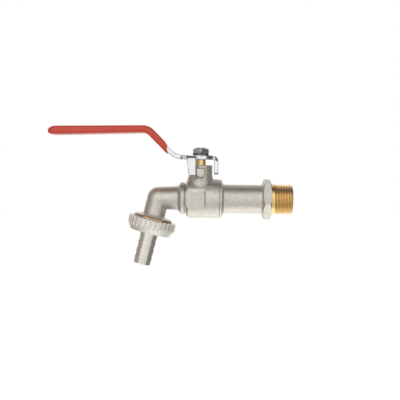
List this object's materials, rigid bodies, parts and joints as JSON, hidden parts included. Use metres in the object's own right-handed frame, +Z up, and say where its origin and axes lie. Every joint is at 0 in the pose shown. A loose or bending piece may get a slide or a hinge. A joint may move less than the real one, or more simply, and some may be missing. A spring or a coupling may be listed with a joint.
{
  "type": "drain ball valve",
  "caption": "Quarter-turn ball valve with a bent spout, a cranked lever in a plastic sleeve, a male inlet thread and a ribbed union nut that holds a barbed hose tail.",
  "frame": {"origin": "centre of the hexagon's face that the inlet thread stands on", "axes": "+X runs out along the inlet thread, +Z runs up the stem, -Y is the side with the stop lug"},
  "size_m": [0.1657, 0.0322, 0.0949],
  "materials": {
    "nickel_plate": "satin nickel plate over blasted brass; the two outer threads are bare brass",
    "bare_brass": "bright turned brass",
    "chromed_ball": "polished chromium plate over brass",
    "white_seat": "smooth",
    "black_rubber": "smooth",
    "zinc_steel": "bright zinc plate",
    "dark_steel": "dull grey zinc plate",
    "red_sleeve": "soft satin vinyl"
  },
  "bodies": {
    "valve": {"valve_body": "nickel_plate", "inlet_connector": "nickel_plate", "body_seal": "black_rubber", "inlet_seat": "white_seat", "outlet_seat": "white_seat"},
    "handle": {"stem": "bare_brass", "ball": "chromed_ball", "thrust_washer": "white_seat", "lower_stem_seal": "black_rubber", "upper_stem_seal": "black_rubber", "lever": "zinc_steel", "lever_sleeve": "red_sleeve", "spring_washer": "dark_steel", "lever_nut": "dark_steel"},
    "gasket": {"tail_gasket": "black_rubber"},
    "tail": {"hose_tail": "nickel_plate"},
    "nut": {"union_nut": "nickel_plate"}
  },
  "joints": [
    {"name": "lever_turn", "type": "hinge", "parent": "valve", "child": "handle", "pos_m": [-0.0478, 0, 0], "axis": [0, 0, 1], "range_deg": [-90, 0]},
    {"name": "union_slide", "type": "slide", "parent": "valve", "child": "gasket", "axis": [-0.2334, 0, -0.9724], "range_m": [0, 0.0044]},
    {"name": "union_nut_turn", "type": "hinge", "parent": "gasket", "child": "nut", "pos_m": [-0.08087, 0, -0.01945], "axis": [-0.2334, 0, -0.9724], "range_deg": [0, 873]},
    {"name": "tail_swivel", "type": "hinge", "parent": "gasket", "child": "tail", "pos_m": [-0.08087, 0, -0.01945], "axis": [-0.2334, 0, -0.9724], "continuous": true}
  ],
  "couplings": [
    {"joint": "union_slide", "follows": "union_nut_turn", "m_per_rad": 0.00028871}
  ]
}
